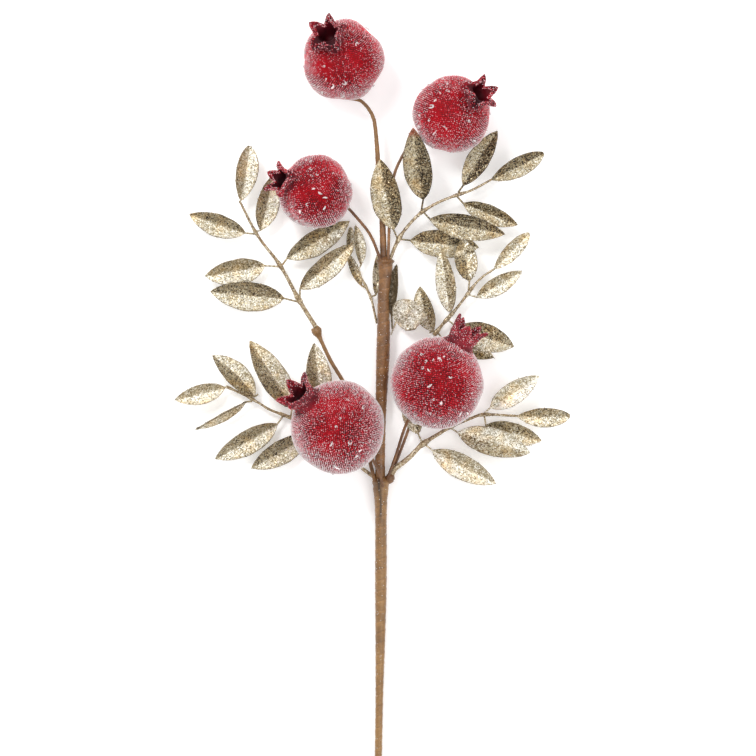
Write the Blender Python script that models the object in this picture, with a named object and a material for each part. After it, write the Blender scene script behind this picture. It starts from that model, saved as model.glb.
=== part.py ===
"""Artificial pomegranate spray, laid on its back on a table.

Five beaded pomegranates and forty glittered leaves on six sprigs, all wired to one paper-taped stem.
The layout below is in millimetres: X to the right, Y from the cut end up the stem, Z up from the table.
The finished spray hangs on one empty, which puts the origin under the middle of the whole spray.
"""
import bpy
import bmesh
from math import cos, pi, radians, sin, sqrt
from mathutils import Vector

MM = 0.001
GAP = 0.35                # air left between pieces that touch, mm
STEM_SIDES = 10
WIRE_SIDES = 8
STEM_STEP = 14.0          # distance between the rings of a thick stem, mm
WIRE_STEP = 9.0           # distance between the rings of a thin wire, mm

# Main stem: points on its middle line, each with the radius of the paper tape there.
STEM_LOWER = [(-1.5, 0, 3.2, 2.95), (-1, 30, 3.7, 2.95), (-0.5, 62, 4.4, 3.2), (0.3, 110, 5.6, 4.1),
              (0.7, 151, 6.7, 4.75), (0.7, 205, 8.3, 4.75), (0.6, 222, 8.8, 5.5), (0.6, 230, 9, 5.9)]
STEM_MIDDLE = [(0.3, 230.4, 9, 4.1), (0, 245.5, 9.4, 4.05), (0.5, 283.5, 10.5, 4.3), (2.3, 333.5, 12, 5.5),
               (2.8, 355, 12.6, 5.3), (2.7, 383, 13.4, 4.6), (4.2, 399, 13.9, 5), (4.3, 410, 14.1, 5.2)]
STEM_UPPER = [(3, 410.4, 14.2, 2.8), (2.5, 427, 14.6, 2.7), (1.5, 449, 15.6, 2.3), (-1.5, 486, 17, 2),
              (-2.2, 499, 18, 1.9), (-4.4, 522.5, 19.5, 1.5), (-6, 527.5, 19.8, 1.5),
              (-13.5, 539, 20, 1.4), (-24.6, 542.2, 20, 1.4)]

# Wires under brown tape: four to the lower fruits, two that carry a sprig.
WIRE_RADIUS = 1.2
WIRES = {
    "wire_right_top": [(36.7, 509.5, 17.6), (28.5, 508.5, 18.5), (22.5, 503, 19), (11.5, 480.5, 19.5),
                       (8, 448, 19), (6.5, 411, 18)],
    "wire_left_top": [(-27.5, 455.5, 14.5), (-16, 442.5, 15.5), (-7.5, 431, 17), (0.5, 411, 18.5)],
    "wire_left_low": [(-7.5, 252.5, 27), (-4, 246, 23), (0, 238, 18), (1.5, 231, 16)],
    "wire_right_low": [(25, 285.5, 23.5), (20, 275.5, 18), (13, 253.5, 13.5), (5.5, 232.5, 12)],
    "wire_left_upper": [(-5, 235, 11), (-10.5, 256, 8), (-19.5, 282, 7), (-29, 310.5, 7.5),
                        (-40.5, 330.5, 8.5), (-51.5, 354, 9)],
    "wire_right_middle": [(5.5, 231, 7), (14.5, 251, 4.2), (25, 279.5, 3.6), (36.5, 314.5, 4),
                          (44, 348, 8)],
}

# Fruits: middle of the body, radius, way that the crown points, way that its first sepal leans,
# depth of the soft ribs as a part of the radius, and whether it rests on the table.
FLAT_DEPTH = 0.45         # how much of a resting fruit is pressed flat, mm
FRUITS = {
    "fruit_top": ((-30, 572.5, 31), 31.6, (-0.31, 0.51, 0.8), (0.1, 1, 0), 0.045, True),
    "fruit_right_top": ((58, 529, 30), 30.2, (0.62, 0.42, 0.66), (0.2, 1, 0), 0.035, True),
    "fruit_left_top": ((-52, 466, 28), 28.6, (-0.81, 0.27, 0.52), (0.15, 1, 0), 0.035, True),
    "fruit_left_low": ((-34, 276, 43), 37, (-0.69, 0.58, 0.43), (0, 1, 0.2), 0.012, False),
    "fruit_right_low": ((46, 312, 42), 36.6, (0.49, 0.865, 0.1), (0, 0, 1), 0.012, False),
}
SEPALS = 5
COLUMNS = SEPALS * 4
LATITUDES = (-72, -50, -28, -6, 16, 38, 58)
# Crown profile as (height, radius) in parts of the fruit's radius, outside going up, then down the cup.
CROWN_NECK = (0.94, 0.31)
CROWN_TUBE = (1.08, 0.27)
CROWN_RIM = (1.2, 0.31)
CROWN_CUP = (1.17, 0.21)
CROWN_THROAT = (1.05, 0.17)
CROWN_FLOOR = 0.98
SEPAL_RISE = 0.24
SEPAL_LEAN = 0.16
SEPAL_SHAPE = (1, 0.45, 0, 0.45)   # height of the rim from one sepal's tip round to the next

# Leaves: a folded blade on a short stalk, with its own thickness.
FOLD = 25                 # rise of each half of a blade from the midrib, degrees
BLADE_STATIONS = (0, 0.1, 0.25, 0.42, 0.6, 0.78, 0.91, 1)
BLADE_THICKNESS = 0.7
MIDRIB_THICKNESS = 1.0
STALK_HALF_WIDTH = 0.75
TIP_HALF_WIDTH = 0.5
BOW = 0.045               # how far the middle of a blade stands above its chord, in parts of its length

# Sprigs: the stem's points and radius, then for each leaf the part of the stem's length at which its
# stalk leaves, the blade's base, its tip, its width as laid, and its roll in degrees. A positive roll
# lifts the left edge, seen from the base.
SPRIGS = {
    "left_upper": {
        "radius": 1.5,
        "stem": [(-53, 358.5, 9.2), (-66, 379.5, 10), (-81, 407, 11), (-99.5, 431.5, 12),
                 (-113, 457.5, 14)],
        "leaves": [
            (1.0, (-112.5, 460.5, 14), (-106, 505, 18), 18, 22),
            (0.76, (-109.5, 433.5, 12), (-154.5, 448.5, 14), 18, -20),
            (0.78, (-96.5, 436, 13), (-87.5, 479.5, 14), 18, 20),
            (0.47, (-93.5, 407, 10), (-142, 398.5, 11), 21, -20),
            (0.19, (-78, 380.5, 13), (-137.5, 386, 14), 23.5, -15),
            (0.47, (-75.5, 413, 11), (-25, 443, 10), 19.5, 20),
            (0.2, (-65, 388, 14), (-21.5, 425, 16), 18.5, 20),
        ]},
    "left_lower": {
        "radius": 1.5,
        "stem": [(-5.5, 235.5, 7.5), (-32.5, 256, 5), (-56.5, 275.5, 5.5), (-71.5, 283, 6.5),
                 (-90.5, 290.5, 7.5), (-102.5, 298, 8), (-123, 308, 9)],
        "leaves": [
            (1.0, (-126.5, 308, 9), (-166.5, 298, 11), 16, -15),
            (0.85, (-100, 302, 9), (-136, 334, 11), 18, 10),
            (0.6, (-71.5, 291.5, 10), (-105.5, 346, 18), 22, 10),
            (0.83, (-109, 296.5, 9), (-150, 274, 8), 6.5, -60),
            (0.64, (-83.5, 278.5, 7), (-134, 250, 6), 19.5, -20),
            (0.45, (-58.5, 269, 5), (-104.5, 242.5, 6), 19.5, -15),
            (0.42, (-48.5, 287.5, 5), (-53.5, 344, 14), 21, 15),
        ]},
    "right_upper": {
        "radius": 1.5,
        "stem": [(8.5, 413, 13), (14.5, 427.5, 14), (22.5, 439, 15), (33.5, 450, 15.5), (48, 458.5, 16),
                 (60.5, 463.5, 16), (74, 468, 15.5), (89, 476, 15)],
        "leaves": [
            (0.15, (11, 436, 21), (0, 492.5, 28), 23.5, -15),
            (0.42, (35, 460.5, 20), (26.5, 517.5, 37), 22.5, -12),
            (0.72, (67.5, 472, 16), (95, 516, 18), 18, -10),
            (1.0, (90.5, 476.5, 15), (133.5, 498.5, 18), 16, 15),
            (0.715, (67.5, 457.5, 15), (111.5, 440, 13), 15.5, 18),
            (0.44, (40.5, 444.5, 16), (101, 432.5, 17), 20, 15),
            (0.16, (24.5, 427.5, 10), (80, 422, 8), 22.5, 4),
        ]},
    "right_middle": {
        "radius": 1.4,
        "stem": [(45, 352, 8.5), (50.5, 359, 9), (61, 371, 10.5), (70, 382.5, 11), (75.5, 390, 11.5),
                 (82, 397, 12), (91.5, 403.5, 13)],
        "leaves": [
            (0.2, (57, 369.5, 12), (49.5, 419.5, 19), 16, -10),
            (0.6, (72.5, 394.5, 14), (66.5, 429.5, 15.5), 18, 0),
            (1.0, (92.5, 404, 13), (121.5, 434, 15), 13, 10),
            (0.58, (78.5, 381.5, 11), (115, 402.5, 12), 14.5, 12),
            (0.05, (41, 353, 9), (32.5, 390, 12), 15.5, -10),
            (0.22, (63, 356.5, 12), (108.5, 341.5, 11), 22.5, 8),
            (0.03, (52.5, 345, 8), (92.5, 332.5, 7), 14.5, -10),
        ]},
    "right_lower": {
        "radius": 1.6,
        "stem": [(7.5, 233.5, 9.8), (11.5, 241.5, 9.4), (15.5, 244.5, 9.2), (25, 252.5, 8.5), (34.5, 262, 8),
                 (45.5, 269, 8), (56, 275.5, 8.5), (72.5, 282.5, 9), (83, 286, 9.5), (109.5, 285, 10)],
        "leaves": [
            (0.78, (89.5, 291.5, 10), (129, 317.5, 14), 18, 5),
            (1.0, (112, 284.5, 10), (155, 285, 11), 16, 18),
            (0.79, (86, 277.5, 8), (131, 265, 6.5), 18, 15),
            (0.545, (63, 271.5, 10), (121.5, 255, 12), 22.5, -5),
            (0.335, (42.5, 257, 8), (94, 230, 7), 20, 10),
            (0.33, (31, 270.5, 10), (20, 299.5, 12), 14.5, 0),
        ]},
    "centre": {
        "radius": 1.0,
        "stem": [(-3, 362, 8), (-7.5, 381.5, 7), (-10.5, 388, 7), (-19, 404.5, 6.5), (-24, 412.5, 6.5)],
        "leaves": [
            (0.8, (-15.5, 408, 8), (-20, 440, 10), 9, 40),
            (0.5, (-15.5, 391, 3.2), (-26.5, 418, 3), 7.5, 10),
            (1.0, (-24.5, 415.5, 6.5), (-24, 439, 8), 7.5, 20),
            (0.36, (-3, 383.5, 4.5), (-2, 417, 3.5), 7.5, 0),
        ]},
}
# Two leaves whose stalks are taped straight to the main stem: stalk's root, base, tip, width, roll.
STEM_LEAVES = {
    "leaf_stem_1": ((10, 357.5, 9), (9.5, 366, 8), (13.5, 408, 9), 9, -40),
    "leaf_stem_2": ((9.5, 352.5, 6.5), (13, 361.5, 8.5), (32, 374, 25), 24, 0),
}

# Colour, roughness and metallic of each finish.
FINISHES = {
    "fruit_skin": ((0.36, 0.012, 0.026), 0.35, 0.0),
    "leaf_glitter": ((0.52, 0.44, 0.24), 0.35, 0.7),
    "sprig_stem": ((0.62, 0.5, 0.3), 0.4, 0.4),
    "paper_tape": ((0.3, 0.17, 0.07), 0.6, 0.0),
}


def finish(slot):
    """The material of one finish, made the first time it is asked for."""
    material = bpy.data.materials.get(slot)
    if material is None:
        colour, roughness, metallic = FINISHES[slot]
        material = bpy.data.materials.new(slot)
        material.use_nodes = True
        shader = material.node_tree.nodes["Principled BSDF"]
        shader.inputs["Base Color"].default_value = (*colour, 1)
        shader.inputs["Roughness"].default_value = roughness
        shader.inputs["Metallic"].default_value = metallic
    return material


def add_piece(name, form, origin, slot, spray):
    """Turn a bmesh in layout millimetres into an object whose origin is at the given point."""
    bmesh.ops.recalc_face_normals(form, faces=form.faces)
    for vertex in form.verts:
        vertex.co = (vertex.co - origin) * MM
    mesh = bpy.data.meshes.new(name)
    form.to_mesh(mesh)
    form.free()
    mesh.shade_smooth()
    mesh.set_sharp_from_angle(angle=radians(50))
    mesh.materials.append(finish(slot))
    piece = bpy.data.objects.new(name, mesh)
    piece.location = origin * MM
    piece.parent = spray
    bpy.context.scene.collection.objects.link(piece)
    return piece


def skin(rings):
    """A closed form over rings of points; a ring of one point closes an end as a pole."""
    form = bmesh.new()
    loops = [[form.verts.new(point) for point in ring] for ring in rings]
    for lower, upper in zip(loops, loops[1:]):
        count = max(len(lower), len(upper))
        for i in range(count):
            corners = []
            for loop, j in ((lower, i), (lower, i + 1), (upper, i + 1), (upper, i)):
                corner = loop[j % len(loop)]
                if corner not in corners:
                    corners.append(corner)
            form.faces.new(corners)
    for loop in (loops[0], loops[-1]):
        if len(loop) > 1:
            form.faces.new(loop)
    return form


def smooth_line(points, step):
    """Points about one step apart on a smooth curve through the given ones.

    Each stretch is a cubic whose end slopes come from the neighbouring points. Anything after the
    third number of a point, such as a radius, is carried along the same way.
    """
    size = len(points[0])
    knots = [0.0]
    for a, b in zip(points, points[1:]):
        knots.append(knots[-1] + (Vector(b[:3]) - Vector(a[:3])).length)
    last = len(points) - 1
    slopes = []
    for i in range(last + 1):
        a, b = max(i - 1, 0), min(i + 1, last)
        slopes.append([(points[b][k] - points[a][k]) / (knots[b] - knots[a]) for k in range(size)])
    count = max(2, round(knots[-1] / step))
    line = []
    i = 0
    for n in range(count + 1):
        at = knots[-1] * n / count
        while i < last - 1 and at > knots[i + 1]:
            i += 1
        span = knots[i + 1] - knots[i]
        t = (at - knots[i]) / span
        line.append([(2 * t**3 - 3 * t**2 + 1) * points[i][k]
                     + (t**3 - 2 * t**2 + t) * span * slopes[i][k]
                     + (3 * t**2 - 2 * t**3) * points[i + 1][k]
                     + (t**3 - t**2) * span * slopes[i + 1][k] for k in range(size)])
    return line


def add_tube(name, points, sides, step, slot, spray):
    """A round tube with flat ends along points of (x, y, z, radius)."""
    line = smooth_line(points, step)
    middles = [Vector(point[:3]) for point in line]
    rings = []
    for i, middle in enumerate(middles):
        along = (middles[min(i + 1, len(middles) - 1)] - middles[max(i - 1, 0)]).normalized()
        side = along.cross(Vector((0, 0, 1))).normalized()
        up = side.cross(along)
        turns = [2 * pi * k / sides for k in range(sides)]
        rings.append([middle + line[i][3] * (cos(turn) * side + sin(turn) * up) for turn in turns])
    return add_piece(name, skin(rings), middles[0], slot, spray)


def add_fruit(name, centre, radius, crown, first_sepal, ribs, resting, spray):
    """A beaded pomegranate with its hollow crown, as one skin from the base to the floor of the cup."""
    centre = Vector(centre)
    axis = Vector(crown).normalized()
    first = Vector(first_sepal)
    first = (first - first.dot(axis) * axis).normalized()
    second = axis.cross(first)

    def ring(heights, radii):
        points = []
        for k in range(COLUMNS):
            turn = 2 * pi * k / COLUMNS
            away = cos(turn) * first + sin(turn) * second
            points.append(centre + radius * (heights[k] * axis + radii[k] * away))
        return points

    def level(height, width):
        return ring([height] * COLUMNS, [width] * COLUMNS)

    rings = [[centre - radius * axis]]
    for latitude in LATITUDES:
        angle = radians(latitude)
        swell = [1 + ribs * cos(angle)**2 * cos(SEPALS * 2 * pi * k / COLUMNS) for k in range(COLUMNS)]
        rings.append(ring([sin(angle) * s for s in swell], [cos(angle) * s for s in swell]))
    rise = [SEPAL_SHAPE[k % len(SEPAL_SHAPE)] for k in range(COLUMNS)]
    rings.append(level(*CROWN_NECK))
    rings.append(level(*CROWN_TUBE))
    rings.append(ring([CROWN_RIM[0] + SEPAL_RISE * r for r in rise],
                      [CROWN_RIM[1] + SEPAL_LEAN * r for r in rise]))
    rings.append(ring([CROWN_CUP[0] + 0.5 * SEPAL_RISE * r for r in rise],
                      [CROWN_CUP[1] + 0.5 * SEPAL_LEAN * r for r in rise]))
    rings.append(level(*CROWN_THROAT))
    rings.append([centre + radius * CROWN_FLOOR * axis])
    form = skin(rings)
    if resting:
        drop = min(vertex.co.z for vertex in form.verts) + FLAT_DEPTH
        for vertex in form.verts:
            vertex.co.z -= drop
        everything = form.verts[:] + form.edges[:] + form.faces[:]
        cut = bmesh.ops.bisect_plane(form, geom=everything, plane_co=(0, 0, 0), plane_no=(0, 0, 1),
                                     clear_inner=True)
        rim = [item for item in cut["geom_cut"] if isinstance(item, bmesh.types.BMEdge)]
        bmesh.ops.edgeloop_fill(form, edges=rim)
    bmesh.ops.triangulate(form, faces=form.faces)
    return add_piece(name, form, centre, "fruit_skin", spray)


def blade_shape(s):
    """Half width of a blade at part s of its length, as a part of the largest: a pointed lens."""
    return (4 * s * (1 - s))**0.8 * (1.12 - 0.24 * s)


def add_leaf(name, root, base, tip, width, roll, spray):
    """A leaf: a thin stalk that widens into a blade folded along its midrib."""
    root, base, tip = Vector(root), Vector(base), Vector(tip)
    length = (tip - base).length
    rise_left = radians(FOLD + roll)
    rise_right = radians(FOLD - roll)
    half = width / (cos(rise_left) + cos(rise_right))
    stations = [(root, STALK_HALF_WIDTH), (root.lerp(base, 0.55), STALK_HALF_WIDTH)]
    for s in BLADE_STATIONS:
        arch = Vector((0, 0, BOW * length * 4 * s * (1 - s)))
        narrow = STALK_HALF_WIDTH + s * (TIP_HALF_WIDTH - STALK_HALF_WIDTH)
        stations.append((base.lerp(tip, s) + arch, max(half * blade_shape(s), narrow)))
    rings = []
    for i, (middle, reach) in enumerate(stations):
        ahead = stations[min(i + 1, len(stations) - 1)][0]
        behind = stations[max(i - 1, 0)][0]
        along = (ahead - behind).normalized()
        left = Vector((0, 0, 1)).cross(along).normalized()
        up = along.cross(left)
        face = cos(radians(roll)) * up - sin(radians(roll)) * left
        left_edge = middle + reach * (cos(rise_left) * left + sin(rise_left) * up)
        right_edge = middle + reach * (sin(rise_right) * up - cos(rise_right) * left)
        thin = 0.5 * BLADE_THICKNESS * face
        thick = 0.5 * MIDRIB_THICKNESS * face
        rings.append([left_edge + thin, middle + thick, right_edge + thin,
                      right_edge - thin, middle - thick, left_edge - thin])
    return add_piece(name, skin(rings), base, "leaf_glitter", spray)


def stalk_root(stem, radius, part, base):
    """Where a leaf's stalk starts: just clear of the sprig's stem, on the way to the blade's base."""
    line = [Vector(point) for point in smooth_line(stem, 1.0)]
    i = round(part * (len(line) - 1))
    along = (line[min(i + 1, len(line) - 1)] - line[max(i - 1, 0)]).normalized()
    if part == 1.0:
        return line[-1] + (GAP + STALK_HALF_WIDTH) * along
    away = (Vector(base) - line[i]).normalized()
    slant = max(sqrt(1 - away.dot(along)**2), 0.4)
    return line[i] + away * (radius + STALK_HALF_WIDTH + GAP) / slant


def build():
    for old in list(bpy.data.objects):
        bpy.data.objects.remove(old)
    spray = bpy.data.objects.new("spray", None)
    bpy.context.scene.collection.objects.link(spray)

    for name, points in (("stem_lower", STEM_LOWER), ("stem_middle", STEM_MIDDLE)):
        add_tube(name, points, STEM_SIDES, STEM_STEP, "paper_tape", spray)
    add_tube("stem_upper", STEM_UPPER, WIRE_SIDES, WIRE_STEP, "paper_tape", spray)
    for name, points in WIRES.items():
        thick = [(*point, WIRE_RADIUS) for point in points]
        add_tube(name, thick, WIRE_SIDES, WIRE_STEP, "paper_tape", spray)
    for name, values in FRUITS.items():
        add_fruit(name, *values, spray)
    for sprig, values in SPRIGS.items():
        radius = values["radius"]
        thick = [(*point, radius) for point in values["stem"]]
        add_tube("sprig_" + sprig, thick, WIRE_SIDES, WIRE_STEP, "sprig_stem", spray)
        for number, (part, base, *rest) in enumerate(values["leaves"], 1):
            root = stalk_root(values["stem"], radius, part, base)
            add_leaf(f"leaf_{sprig}_{number}", root, base, *rest, spray)
    for name, values in STEM_LEAVES.items():
        add_leaf(name, *values, spray)

    bpy.context.view_layer.update()
    corners = [piece.matrix_world @ vertex.co for piece in spray.children for vertex in piece.data.vertices]
    low = [min(corner[k] for corner in corners) for k in range(3)]
    high = [max(corner[k] for corner in corners) for k in range(3)]
    spray.location = (-(low[0] + high[0]) / 2, -(low[1] + high[1]) / 2, -low[2])


build()
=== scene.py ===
import math

import bpy
import numpy as np
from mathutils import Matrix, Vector


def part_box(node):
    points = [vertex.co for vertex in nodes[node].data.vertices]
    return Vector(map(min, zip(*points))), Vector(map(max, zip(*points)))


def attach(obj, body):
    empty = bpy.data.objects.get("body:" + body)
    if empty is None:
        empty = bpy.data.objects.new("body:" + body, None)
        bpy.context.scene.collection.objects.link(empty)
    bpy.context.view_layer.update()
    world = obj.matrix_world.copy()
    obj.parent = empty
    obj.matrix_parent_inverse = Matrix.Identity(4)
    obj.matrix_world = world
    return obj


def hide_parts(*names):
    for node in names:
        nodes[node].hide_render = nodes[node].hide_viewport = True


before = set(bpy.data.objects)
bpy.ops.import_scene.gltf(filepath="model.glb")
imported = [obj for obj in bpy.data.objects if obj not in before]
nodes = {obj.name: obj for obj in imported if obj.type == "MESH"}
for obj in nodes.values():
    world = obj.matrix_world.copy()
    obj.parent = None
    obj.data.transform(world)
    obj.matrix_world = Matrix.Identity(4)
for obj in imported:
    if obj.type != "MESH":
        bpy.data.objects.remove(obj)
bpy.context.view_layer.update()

mm = 0.001
reading = {                  # mm within which points of a CAD node belong to one cluster
    "tubeReach": 4.2,
    "leafReach": 1.25,
}


def unit(vectors):
    # the same directions with length one
    return vectors / np.linalg.norm(vectors, axis=-1, keepdims=True)


def cornerPoints(node):
    # every triangle corner of a CAD node, as one array
    mesh = nodes[node].data
    spots = np.empty(len(mesh.vertices) * 3)
    mesh.vertices.foreach_get("co", spots)
    order = np.empty(len(mesh.loops), int)
    mesh.loops.foreach_get("vertex_index", order)
    return spots.reshape(-1, 3)[order]


def pointClusters(points, reach):
    # points closer than reach to one another share a label; labels spread until nothing changes
    near = np.linalg.norm(points[:, None] - points[None], axis=2) < reach
    labels = np.arange(len(points))
    while True:
        spread = np.where(near, labels[None], len(points)).min(axis=1)
        if (spread == labels).all():
            return [points[labels == label] for label in np.unique(labels)]
        labels = spread


def readTube(node):
    # a CAD tube is a row of rings: each ring's middle and radius, from the end nearest the cut stem
    rings = pointClusters(np.unique(cornerPoints(node).round(6), axis=0), reading["tubeReach"] * mm)
    middles = np.array([ring.mean(axis=0) for ring in rings])
    radii = np.array([np.linalg.norm(ring - ring.mean(axis=0), axis=1).mean() for ring in rings])
    gaps = np.linalg.norm(middles[:, None] - middles[None], axis=2)
    ends = np.unravel_index(gaps.argmax(), gaps.shape)
    order = [min(ends, key=lambda i: middles[i, 1])]
    while len(order) < len(rings):
        away = gaps[order[-1]].copy()
        away[order] = np.inf
        order.append(int(away.argmin()))
    return middles[order], radii[order]


def readLeaf(node):
    # clusters of many points are the stalk's rings and the tip; pairs are the blade's edges and midrib
    clusters = pointClusters(np.unique(cornerPoints(node).round(6), axis=0), reading["leafReach"] * mm)
    rings = np.array([c.mean(axis=0) for c in clusters if len(c) > 2])
    pairs = np.array([c.mean(axis=0) for c in clusters if len(c) <= 2])
    gaps = np.linalg.norm(rings[:, None] - rings[None], axis=2)
    np.fill_diagonal(gaps, 1)
    tip = rings[gaps.min(axis=1).argmax()]     # the one that stands farthest from its nearest neighbour
    rings = rings[np.linalg.norm(rings - tip, axis=1).argsort()]
    base, root = rings[1], rings[-1]
    length = np.linalg.norm(tip - base)
    ahead = unit(tip - base)
    along = (pairs - base) @ ahead
    order = along.argsort()
    rows = pairs[order].reshape(-1, 3, 3)
    parts = (along[order] / length).reshape(-1, 3).mean(axis=1)
    chord = base + parts[:, None] * length * ahead
    leftward = unit(np.cross((0, 0, 1), ahead))
    sides = np.take_along_axis(rows, ((rows - chord[:, None]) @ leftward).argsort(axis=1)[:, :, None], 1)
    rib = rows[np.arange(len(rows)), np.linalg.norm(rows - chord[:, None], axis=2).argmin(axis=1)]
    others = [row[np.linalg.norm(row - mid, axis=1) > 1e-6] for row, mid in zip(sides, rib)]
    right = np.array([pair[0] for pair in others]) - rib
    left = np.array([pair[1] for pair in others]) - rib
    half = (np.linalg.norm(left, axis=1) / bladeOutline(parts)).mean()
    arch = ((rib - chord) / (4 * parts * (1 - parts))[:, None]).mean(axis=0)
    return dict(root=root, base=base, tip=tip, half=half, arch=arch,
                left=unit(left.sum(axis=0)), right=unit(right.sum(axis=0)))


def readFruit(node):
    # both poles of a CAD fruit touch more triangles than any other point, so they give its axis
    places, uses = np.unique(cornerPoints(node).round(6), axis=0, return_counts=True)
    poles = places[uses.argsort()[-2:]]
    reach = [np.linalg.norm(places - pole, axis=1).max() for pole in poles]
    base, cup = poles[np.argsort(reach)[::-1]]
    poleGap = 1.98           # from the base to the floor of the crown's hole, in radii
    radius = np.linalg.norm(cup - base) / poleGap
    axis = unit(cup - base)
    centre = base + radius * axis
    heights = (places - centre) @ axis
    tips = places[heights > heights.max() - 0.02 * radius]
    first = tips[tips[:, 1].argmax()] - centre
    first = unit(first - (first @ axis) * axis)
    return dict(centre=centre, radius=radius, axis=axis, floor=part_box(node)[0].z,
                basis=np.stack([first, np.cross(axis, first), axis]))


def smoothLine(points, count):
    # a cubic through the points, with end slopes of each stretch from its neighbours, at even steps
    knots = np.r_[0, np.linalg.norm(np.diff(points[:, :3], axis=0), axis=1).cumsum()]
    slopes = np.gradient(points, knots, axis=0)
    at = np.linspace(0, knots[-1], count)
    i = np.clip(np.searchsorted(knots, at, side="right") - 1, 0, len(points) - 2)
    span = (knots[i + 1] - knots[i])[:, None]
    t = (at - knots[i])[:, None] / span
    return ((2 * t**3 - 3 * t**2 + 1) * points[i] + (t**3 - 2 * t**2 + t) * span * slopes[i]
            + (3 * t**2 - 2 * t**3) * points[i + 1] + (t**3 - t**2) * span * slopes[i + 1])


def tubeSpots(line, radii, sides):
    # circles of the given radii square to the line, each started level with the table
    ahead = unit(np.gradient(line, axis=0))
    side = unit(np.cross(ahead, (0, 0, 1)))
    up = np.cross(side, ahead)
    turn = np.linspace(0, 2 * math.pi, sides, endpoint=False)
    ring = np.cos(turn)[None, :, None] * side[:, None] + np.sin(turn)[None, :, None] * up[:, None]
    return line[:, None] + radii[..., None] * ring


def ringCorners(rows, columns):
    # each quad between two closed rings has these two corners on the first of them
    a = np.arange((rows - 1) * columns)
    return a, a + 1 - columns * (a % columns == columns - 1)


def ringFaces(rows, columns):
    # quads between neighbouring closed rings, and a flat face over each end
    a, b = ringCorners(rows, columns)
    quads = np.stack([a, b, b + columns, a + columns], axis=1)
    ends = [list(range(columns - 1, -1, -1)), list(range((rows - 1) * columns, rows * columns))]
    return quads.tolist() + ends


def runOn(middles, down, up):
    # a tube's middle points, run straight on by so many millimetres at its two ends, and their length
    start = [middles[0] + unit(middles[0] - middles[1]) * down * mm] if down else []
    end = [middles[-1] + unit(middles[-1] - middles[-2]) * up * mm] if up else []
    middles = np.vstack([*start, middles, *end])
    return middles, np.linalg.norm(np.diff(middles, axis=0), axis=1).sum()


def keepMark(mesh, name, values):
    # one value for each point, as an attribute that a material reads
    mesh.attributes.new(name, "FLOAT", "POINT").data.foreach_set("value", np.ravel(values))


def addPiece(mesh, material, replaced=None):
    # the mesh as a piece at the origin that rides the root
    mesh.materials.append(material)
    piece = bpy.data.objects.new(mesh.name, mesh)
    bpy.context.scene.collection.objects.link(piece)
    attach(piece, "root")
    if replaced:
        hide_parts(*replaced)


def makePiece(name, spots, material, replaced, marks):
    # a closed skin over rows of rings, with the marks that its material reads
    rows, columns = spots.shape[:2]
    mesh = bpy.data.meshes.new(name)
    mesh.from_pydata(spots.reshape(-1, 3), [], ringFaces(rows, columns))
    for mark, values in marks.items():
        keepMark(mesh, mark, values)
    mesh.shade_smooth()
    mesh.update()
    addPiece(mesh, material, replaced)


def makeGrains(name, places, turns, sizes, shape, material, milkAndPaintedLight=None):
    # one small shape set down at every place: shape points times size, turned by a 3 by 3 matrix.
    # Grains that are given a milkiness are round, so they are shaded smooth.
    points, faces = shape
    spots = places[:, None] + np.einsum("nij,nkj->nki", turns, sizes[:, None, None] * points[None])
    count, per = len(places), len(points)
    allFaces = (faces[None] + (np.arange(count) * per)[:, None, None]).reshape(-1, faces.shape[1])
    mesh = bpy.data.meshes.new(name)
    mesh.vertices.add(count * per)
    mesh.vertices.foreach_set("co", spots.ravel())
    mesh.loops.add(allFaces.size)
    mesh.loops.foreach_set("vertex_index", allFaces.ravel())
    mesh.polygons.add(len(allFaces))
    mesh.polygons.foreach_set("loop_start", np.arange(len(allFaces)) * faces.shape[1])
    mesh.update(calc_edges=True)
    if milkAndPaintedLight is not None:
        keepMark(mesh, "milkAndPaintedLight", np.repeat(milkAndPaintedLight, per))
        mesh.shade_smooth()
    addPiece(mesh, material)


def turnsFacing(normals, rng):
    # turn matrices whose third column is the normal, spun by a random angle about it
    side = unit(np.cross(np.where(np.abs(normals[:, 2:3]) < 0.9, (0, 0, 1), (1, 0, 0)), normals))
    spin = rng.uniform(0, 2 * math.pi, len(normals))[:, None]
    first = np.cos(spin) * side + np.sin(spin) * np.cross(normals, side)
    return np.stack([first, np.cross(normals, first), normals], axis=2)


def roundGrain():
    # a regular twenty-sided ball of radius one
    g = (1 + 5**0.5) / 2
    points = np.array([(-1, g, 0), (1, g, 0), (-1, -g, 0), (1, -g, 0), (0, -1, g), (0, 1, g),
                       (0, -1, -g), (0, 1, -g), (g, 0, -1), (g, 0, 1), (-g, 0, -1), (-g, 0, 1)])
    faces = np.array([(0, 11, 5), (0, 5, 1), (0, 1, 7), (0, 7, 10), (0, 10, 11), (1, 5, 9), (5, 11, 4),
                      (11, 10, 2), (10, 7, 6), (7, 1, 8), (3, 9, 4), (3, 4, 2), (3, 2, 6), (3, 6, 8),
                      (3, 8, 9), (4, 9, 5), (2, 4, 11), (6, 2, 10), (8, 6, 7), (9, 8, 1)])
    return points / np.linalg.norm(points[0]), faces


def flakeGrain():
    # a flat diamond flake: four corners round an edge, one point above and one below
    points = np.array([(1, 0, 0), (0, 0.8, 0), (-1, 0, 0), (0, -0.8, 0), (0, 0, 0.22), (0, 0, -0.22)])
    faces = np.array([(0, 1, 4), (1, 2, 4), (2, 3, 4), (3, 0, 4), (1, 0, 5), (2, 1, 5), (3, 2, 5),
                      (0, 3, 5)])
    return points, faces


def ringGrain(rings):
    # a grain from a stack of small rings: triangles between neighbours and a fan over each end
    rows, columns = rings.shape[:2]
    a, b = ringCorners(rows, columns)
    sides = np.stack([a, b, b + columns, a, b + columns, a + columns], axis=1).reshape(-1, 3)
    fan = np.arange(1, columns - 1)
    first = np.stack([0 * fan, fan + 1, fan], axis=1)
    last = (rows - 1) * columns + np.stack([0 * fan, fan, fan + 1], axis=1)
    return rings.reshape(-1, 3), np.vstack([sides, first, last])


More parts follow.
